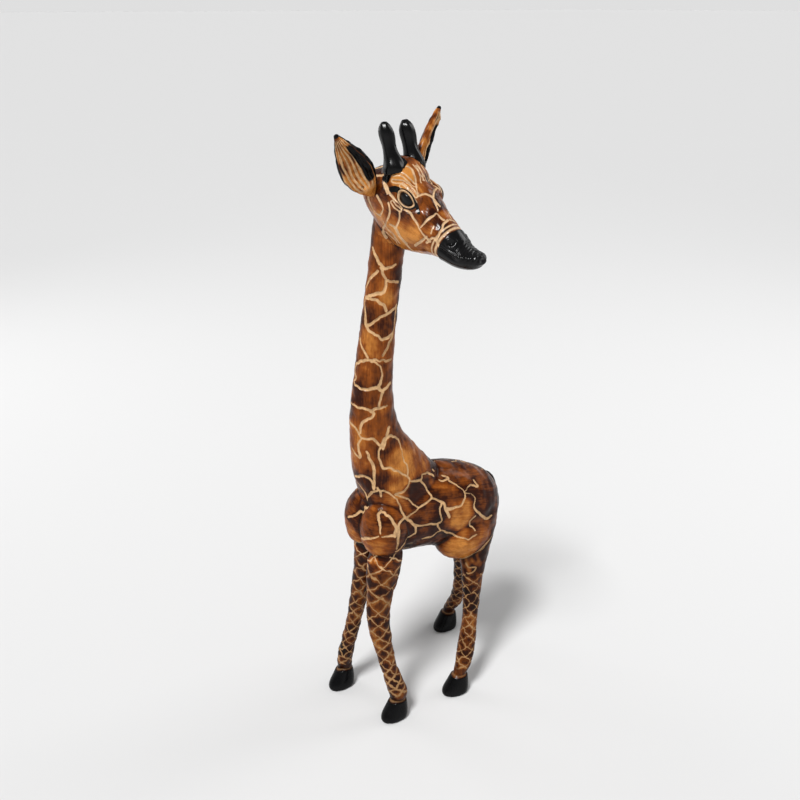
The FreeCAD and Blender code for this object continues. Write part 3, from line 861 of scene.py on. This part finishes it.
def build_ear(name, root, reach, face, black_all_round):
    """A leaf-shaped ear: long ridges carved inside the cup, a black rim and a black fold along one edge."""
    verts, faces = remeshed([name], EAR_VOXEL, 1.3)
    root, span = head_point(*root), FORWARD * reach[0] + LEFT * reach[1] + UP * reach[2]
    length = np.linalg.norm(span)
    axis = span / length
    look = FORWARD * face[0] + LEFT * face[1] + UP * face[2]
    look -= axis * (look @ axis)
    look /= np.linalg.norm(look)
    across = np.cross(axis, look)
    fold_side = 1 if across @ LEFT > 0 else -1  # towards the statue's left on both ears
    offset = verts - root
    a, c, d = offset @ axis / length, offset @ across * fold_side, offset @ look
    w = c / (EAR_HALF * np.interp(a, EAR_ALONG, EAR_WIDTH))
    normals = normals_of(verts, faces)
    front = step(0.05, 0.5, normals @ look)
    inside = front * step(0.93, 0.78, abs(w)) * step(-0.06, 0.06, a) * step(0.97, 0.88, a)
    fan = w + 0.05 * smooth_noise(verts, 30, 80, 1) + 0.04 * np.sin(7 * a)
    ridges = np.cos(2 * math.pi * fan * 3.3) * step(0.0, 0.15, a)
    wisps = np.cos(2 * math.pi * (fan * 8 + 0.8 * a)) * (0.5 + 0.5 * smooth_noise(verts, 12, 83, 1))
    fold = inside * step(0.18, 0.38, w) * step(0.05, 0.2, a) * step(0.86, 0.7, a)
    rim = front * step(0.80, 0.95, abs(w)) + (1 - front) * step(0.70, 0.98, abs(w))
    rim = np.clip(rim * (1.0 if black_all_round else step(-0.2, 0.2, w)) + step(0.93, 0.985, a), 0, 1)
    rim *= step(-0.05, 0.08, a)
    back = 1 - front
    move = inside * (0.85 * ridges + 0.35 * wisps) - 1.6 * fold + 0.35 * smooth_noise(verts, 18, 81)
    moved = verts + normals * move[:, None]
    light = inside * (1 - fold) * np.clip(0.35 + 0.55 * ridges + 0.3 * wisps, 0, 1)
    values = {
        "groove": np.clip(light, 0, 1) * (1 - rim),
        "paint": np.clip(np.maximum(rim, fold * 0.97), 0, 1),
        "edge": inside * np.clip(-ridges, 0, 1) * 0.5,
        "tone": np.clip(0.8 + 0.25 * smooth_noise(verts, 22, 82) - 0.35 * back, 0, 1),
        "cell": np.full(len(verts), 0.4), "crease": np.zeros(len(verts)),
        "grain_x": a * length * 0.1, "grain_y": c, "grain_z": d,
    }
    add_piece(name, moved, faces, values)


def build_plain(name, voxel, smooth, paint, bump, along):
    """A piece with knife marks only: the ossicones and the tail."""
    verts, faces = remeshed([name], voxel, smooth)
    normals = normals_of(verts, faces)
    stretch = verts * np.array([1, 1, 0.35])
    turn, zero = np.arctan2(normals[:, 1], normals[:, 0]), np.zeros(len(verts))
    facets = smooth_noise(stretch, 13, 85, 1) + 0.5 * np.sin(6 * turn + 0.03 * verts[:, 2])
    moved = verts + normals * (bump * facets)[:, None]
    hair = np.cos(9 * turn + 0.05 * verts[:, 2]) if along else zero
    moved += normals * (0.5 * hair)[:, None]
    values = {
        "groove": zero, "paint": zero + paint, "edge": zero, "tone": zero + 0.1, "cell": zero + 0.5,
        "crease": zero, "grain_x": verts[:, 0], "grain_y": verts[:, 1], "grain_z": verts[:, 2] * 0.1,
    }
    add_piece(name, moved, faces, values)


# The materials.


def set_sockets(node, values):
    for socket, value in values.items():
        node.inputs[socket].default_value = value


class Nodes:
    """Short ways to add shader nodes."""

    def __init__(self, name):
        self.material = bpy.data.materials.new(name)
        self.material.use_nodes = True
        self.tree = self.material.node_tree
        self.tree.nodes.clear()

    def add(self, kind, **settings):
        node = self.tree.nodes.new(kind)
        for key, value in settings.items():
            setattr(node, key, value)
        return node

    def link(self, a, b):
        self.tree.links.new(a, b)

    def attribute(self, name):
        return self.add("ShaderNodeAttribute", attribute_name=name, attribute_type="GEOMETRY").outputs["Fac"]

    def math(self, operation, a, b=0.0, c=0.0, clamp=False):
        node = self.add("ShaderNodeMath", operation=operation, use_clamp=clamp)
        for k, value in enumerate((a, b, c)):
            if isinstance(value, (int, float)):
                node.inputs[k].default_value = value
            else:
                self.link(value, node.inputs[k])
        return node.outputs[0]

    def mix(self, factor, a, b, blend="MIX"):
        node = self.add("ShaderNodeMix", data_type="RGBA", blend_type=blend)
        for socket, value in ((node.inputs["Factor"], factor), (node.inputs["A"], a), (node.inputs["B"], b)):
            if socket.name != "Factor":
                socket = [s for s in node.inputs if s.name == socket.name and s.type == "RGBA"][0]
            if isinstance(value, (int, float)):
                socket.default_value = value
            elif isinstance(value, tuple):
                socket.default_value = (*value, 1.0)
            else:
                self.link(value, socket)
        return [s for s in node.outputs if s.type == "RGBA"][0]

    def noise(self, vector, scale, detail=4.0, rough=0.55, distortion=0.0):
        node = self.add("ShaderNodeTexNoise")
        set_sockets(node, {"Scale": scale, "Detail": detail, "Roughness": rough, "Distortion": distortion})
        self.link(vector, node.inputs["Vector"])
        return node.outputs["Fac"]

    def range(self, value, low, high, to_low=0.0, to_high=1.0):
        node = self.add("ShaderNodeMapRange")
        node.clamp = True
        set_sockets(node, {"From Min": low, "From Max": high, "To Min": to_low, "To Max": to_high})
        self.link(value, node.inputs["Value"])
        return node.outputs["Result"]


def carved_wood(name, dark, middle, gold, line, coat=0.20, roughness=0.32):
    """Varnished scorched wood: golden to dark patches, burnt edges, cut lines in bare wood, black paint, and
    painted shade in the creases.
    """
    n = Nodes(name)
    combine = n.add("ShaderNodeCombineXYZ")
    for axis in "XYZ":
        n.link(n.attribute("grain_" + axis.lower()), combine.inputs[axis])
    grain_at = combine.outputs[0]
    position = n.add("ShaderNodeTexCoord").outputs["Object"]
    tone, cell = n.attribute("tone"), n.attribute("cell")
    groove, paint = n.attribute("groove"), n.attribute("paint")
    edge, crease = n.attribute("edge"), n.attribute("crease")
    # Grain: fine streaks and broader bands along it.
    streak = n.noise(grain_at, 0.85, 5.0, 0.62)
    band = n.noise(grain_at, 0.17, 3.0, 0.5, 0.6)
    pore = n.noise(grain_at, 2.6, 2.0, 0.5)
    cloud = n.noise(position, 26.0, 3.0, 0.55)
    blot = n.noise(position, 62.0, 4.0, 0.6)
    # Darkness of the scorch with painted shade in the creases added, 0 golden to 1 nearly black.
    scorch_and_shade = n.math("MULTIPLY_ADD", tone, -0.74, 0.82)
    for noise, low, high, share in ((cloud, 0.36, 0.66, 0.20), (streak, 0.32, 0.68, 0.08),
                                    (band, 0.35, 0.65, 0.07), (blot, 0.35, 0.65, 0.07)):
        scorch_and_shade = n.math("ADD", scorch_and_shade, n.range(noise, low, high, -share, share))
    scorch_and_shade = n.math("MULTIPLY_ADD", edge, n.range(cell, 0.0, 1.0, -0.34, 0.50), scorch_and_shade)
    # Painted shade: darker deep in the creases.
    scorch_and_shade = n.math("MULTIPLY_ADD", crease, 0.75, scorch_and_shade, clamp=True)
    ramp = n.add("ShaderNodeValToRGB")
    stops = [(0.0, gold), (0.33, middle), (0.68, dark), (1.0, tuple(c * 0.22 for c in dark))]
    ramp.color_ramp.elements[0].position, ramp.color_ramp.elements[1].position = 0.0, 1.0
    for place, _ in stops[1:-1]:
        ramp.color_ramp.elements.new(place)
    for element, (place, colour) in zip(ramp.color_ramp.elements, stops):
        element.position, element.color = place, (*colour, 1)
    n.link(scorch_and_shade, ramp.inputs["Fac"])
    pores = n.range(pore, 0.56, 0.76, 0.0, 0.50)
    wood = n.mix(pores, ramp.outputs["Color"], tuple(c * 0.3 for c in dark))
    # Cut lines: bare wood, dirtier where the noise says.
    dirt = n.noise(position, 150.0, 3.0, 0.6)
    bare = n.mix(n.range(dirt, 0.35, 0.72), line, tuple(a * 0.5 + b * 0.2 for a, b in zip(line, middle)))
    shown = n.math("MULTIPLY", n.range(groove, 0.12, 0.62), n.range(dirt, 0.2, 0.42, 0.8, 1.0))
    colour = n.mix(shown, wood, bare)
    black = n.mix(n.range(blot, 0.4, 0.7), (0.0018, 0.0018, 0.002), (0.0045, 0.0043, 0.0048))
    chips = n.noise(position, 210.0, 4.0, 0.65)
    painted = n.math("MULTIPLY", n.range(paint, 0.35, 0.62), n.range(chips, 0.18, 0.24, 0.2, 1.0))
    colour = n.mix(painted, colour, black)
    shader = n.add("ShaderNodeBsdfPrincipled")
    n.link(colour, shader.inputs["Base Color"])
    rough = n.range(streak, 0.3, 0.7, roughness - 0.05, roughness + 0.09)
    rough = n.math("ADD", rough, n.range(cloud, 0.35, 0.65, -0.03, 0.07))
    rough = n.math("MULTIPLY_ADD", shown, 0.16, rough)
    rough = n.math("MULTIPLY_ADD", painted, -0.10, rough, clamp=True)
    n.link(rough, shader.inputs["Roughness"])
    set_sockets(shader, {
        "IOR": 1.45, "Specular IOR Level": 0.04, "Coat Weight": coat, "Coat Roughness": 0.19, "Coat IOR": 1.5,
    })
    bump = n.add("ShaderNodeBump")
    set_sockets(bump, {"Strength": 0.35, "Distance": 0.0006})
    height = n.math("MULTIPLY_ADD", pore, -0.35, n.math("MULTIPLY", streak, 0.5))
    height = n.math("MULTIPLY_ADD", n.math("MULTIPLY", shown, dirt), 0.7, height)
    height = n.math("MULTIPLY_ADD", chips, 0.12, height)
    n.link(height, bump.inputs["Height"])
    n.link(bump.outputs[0], shader.inputs["Normal"])
    output = n.add("ShaderNodeOutputMaterial")
    n.link(shader.outputs[0], output.inputs["Surface"])
    return n.material


def dowel_wood():
    """Plain hardwood rod with grain along it."""
    n = Nodes("dowel_wood")
    position = n.add("ShaderNodeTexCoord").outputs["Object"]
    grain = n.noise(position, 300.0, 4.0, 0.6)
    ring = n.noise(position, 60.0, 2.0, 0.5)
    colour = n.mix(n.range(grain, 0.3, 0.7), (0.52, 0.34, 0.17), (0.36, 0.21, 0.09))
    shader = n.add("ShaderNodeBsdfPrincipled")
    n.link(colour, shader.inputs["Base Color"])
    n.link(n.range(ring, 0.3, 0.7, 0.55, 0.75), shader.inputs["Roughness"])
    bump = n.add("ShaderNodeBump")
    set_sockets(bump, {"Strength": 0.3, "Distance": 0.0004})
    n.link(grain, bump.inputs["Height"])
    n.link(bump.outputs[0], shader.inputs["Normal"])
    n.link(shader.outputs[0], n.add("ShaderNodeOutputMaterial").inputs["Surface"])
    return n.material


def dress():
    """Gives every piece its material."""
    dark, middle, gold = (0.040, 0.0070, 0.0012), (0.260, 0.066, 0.0080), (0.60, 0.235, 0.045)
    line, face_line, leg_line = (0.76, 0.48, 0.24), (0.82, 0.55, 0.31), (0.42, 0.235, 0.10)
    leg = (0.028, 0.0055, 0.0012), (0.150, 0.040, 0.0055), (0.34, 0.130, 0.026)
    tail = (0.02, 0.008, 0.004), (0.06, 0.022, 0.008), (0.12, 0.05, 0.02)
    looks = {
        "trunk_wood": carved_wood("trunk_wood", dark, middle, gold, line),
        "neck_wood": carved_wood("neck_wood", dark, middle, gold, line),
        "head_wood": carved_wood("head_wood", dark, middle, gold, face_line, coat=0.42, roughness=0.28),
        "leg_wood": carved_wood("leg_wood", *leg, leg_line),
        "ear_wood": carved_wood("ear_wood", dark, middle, gold, line, roughness=0.36),
        "tail_wood": carved_wood("tail_wood", *tail, line),
        "black_paint_wood": carved_wood("black_paint_wood", dark, middle, gold, line, 0.4, 0.33),
        "dowel_wood": dowel_wood(),
    }
    for obj in bpy.data.objects:
        if obj.type != "MESH":
            continue
        node = obj.get("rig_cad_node")
        name = obj.name[len("carved_"):] if obj.name.startswith("carved_") else node
        if name in SLOTS and (node is None or name.startswith("dowel")):
            obj.data.materials.clear()
            obj.data.materials.append(looks[SLOTS[name]])


# The picture.


def aimed(direction):
    """The rotation of a light or camera that looks along a direction."""
    return direction.to_track_quat("-Z", "Y").to_euler()


def area_light(name, place, target, size, power):
    data = bpy.data.lights.new(name, "AREA")
    data.shape = "RECTANGLE"
    data.size, data.size_y = size
    data.energy = power
    obj = new_object(name, data)
    obj.location = place
    obj.rotation_euler = aimed(Vector(target) - Vector(place))


def set_stage():
    """A pale floor, a backdrop that fades upwards, and soft lights."""
    n = Nodes("pale_floor")
    shader = n.add("ShaderNodeBsdfPrincipled")
    set_sockets(shader, {"Base Color": (0.74, 0.74, 0.74, 1), "Roughness": 0.9, "Specular IOR Level": 0.1})
    n.link(shader.outputs[0], n.add("ShaderNodeOutputMaterial").inputs["Surface"])
    mesh = bpy.data.meshes.new("floor")
    reach = 150.0
    corners = [(-reach, -reach, 0), (reach, -reach, 0), (reach, reach, 0), (-reach, reach, 0)]
    mesh.from_pydata(corners, [], [(0, 1, 2, 3)])
    floor = new_object("floor", mesh)
    mesh.materials.append(n.material)
    world = bpy.data.worlds.new("studio")
    world.use_nodes = True
    tree, back = world.node_tree, world.node_tree.nodes["Background"]
    height = tree.nodes.new("ShaderNodeSeparateXYZ")
    fade = tree.nodes.new("ShaderNodeMapRange")
    fade.interpolation_type = "SMOOTHSTEP"
    set_sockets(fade, {"From Max": SKY_HEIGHT, "To Min": HORIZON_LIGHT, "To Max": SKY_LIGHT})
    tree.links.new(tree.nodes.new("ShaderNodeTexCoord").outputs["Generated"], height.inputs[0])
    tree.links.new(height.outputs["Z"], fade.inputs["Value"])
    tree.links.new(fade.outputs["Result"], back.inputs["Strength"])
    back.inputs["Color"].default_value = (1.0, 1.0, 1.0, 1)
    bpy.context.scene.world = world
    look_at = (-0.03, 0.0, 0.5)
    sun = bpy.data.lights.new("key", "SUN")
    sun.energy, sun.angle = 2.7, math.radians(14)
    new_object("key", sun).rotation_euler = aimed(Vector((-0.45, 0.95, -1.75)))
    area_light("fill", (-2.4, -0.9, 1.6), look_at, (1.2, 1.6), 10)
    area_light("back", (0.3, 2.4, 2.3), look_at, (1.2, 1.2), 16)
    bpy.context.scene.view_settings.view_transform = "Standard"


def set_camera():
    """A hand-held view from the giraffe's front left, a little above it."""
    across = Vector((math.cos(CAMERA_TURN), math.sin(CAMERA_TURN), 0))
    toward = Vector((math.sin(CAMERA_TURN), -math.cos(CAMERA_TURN), 0))
    foot = Vector((NECK_FOOT[0] / 1000, NECK_FOOT[1] / 1000, 0))
    place = foot + across * CAMERA_ASIDE + toward * CAMERA_AWAY + Vector((0, 0, CAMERA_HEIGHT))
    view = -toward * math.cos(CAMERA_PITCH) - Vector((0, 0, math.sin(CAMERA_PITCH)))
    data = bpy.data.cameras.new("camera")
    data.sensor_width, data.lens = SENSOR, LENS
    data.dof.use_dof = False
    camera = new_object("camera", data)
    camera.location, camera.rotation_euler = place, aimed(view)
    bpy.context.scene.camera = camera


build_body()
build_head()
build_ear("ear_left", (-53, 40, 0), (-46, 57, 80), (0.80, 0.48, 0.31), False)
build_ear("ear_right", (-58, -46, -8), (-43, -49, 61), (0.59, -0.74, 0.31), True)
for ossicone in ("ossicone_left", "ossicone_right"):
    build_plain(ossicone, EAR_VOXEL, 1.5, 1.0, 0.4, False)
build_plain("tail", EAR_VOXEL, 1.2, 0.9, 0.3, True)
dress()
set_stage()
set_camera()
